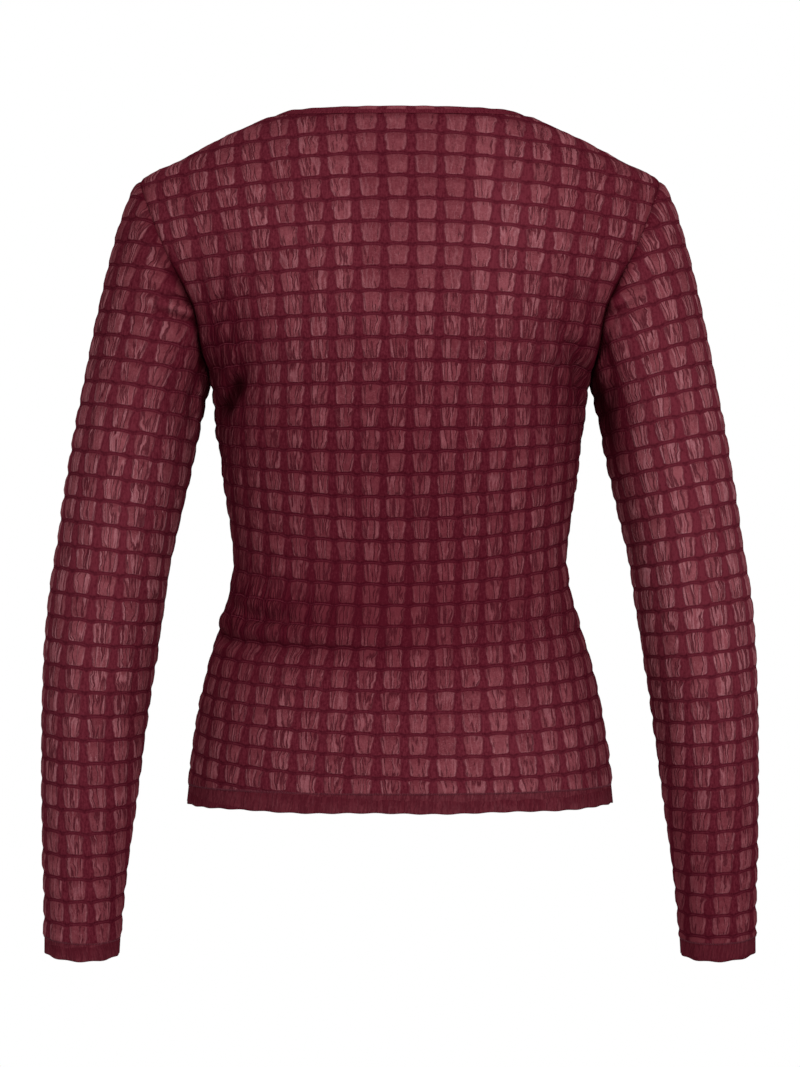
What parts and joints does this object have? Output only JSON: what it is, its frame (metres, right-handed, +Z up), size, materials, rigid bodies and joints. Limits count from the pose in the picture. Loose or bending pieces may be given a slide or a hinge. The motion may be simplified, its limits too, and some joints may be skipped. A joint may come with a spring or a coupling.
{
  "type": "long-sleeved crew neck top",
  "caption": "Fitted hip-length crew neck top with long set-in sleeves, in burgundy stretch mesh of puffed squares, hollow as worn.",
  "frame": {"origin": "where the wearer's shoulders carry it: midway between the two points where the shoulder seams meet the neck edge", "axes": "+Z up, the wearer's front towards -Y, the wearer's left towards +X"},
  "size_m": [0.5742, 0.2477, 0.6779],
  "materials": {
    "puffed_mesh": "crinkled semi-sheer stretch mesh with puffed squares, soft sheen",
    "folded_binding": "the same mesh folded double, flat and matt"
  },
  "bodies": {
    "root": {"back": "puffed_mesh", "front": "puffed_mesh", "sleeve_left": "puffed_mesh", "sleeve_right": "puffed_mesh", "neck_binding": "folded_binding"}
  },
  "joints": []
}
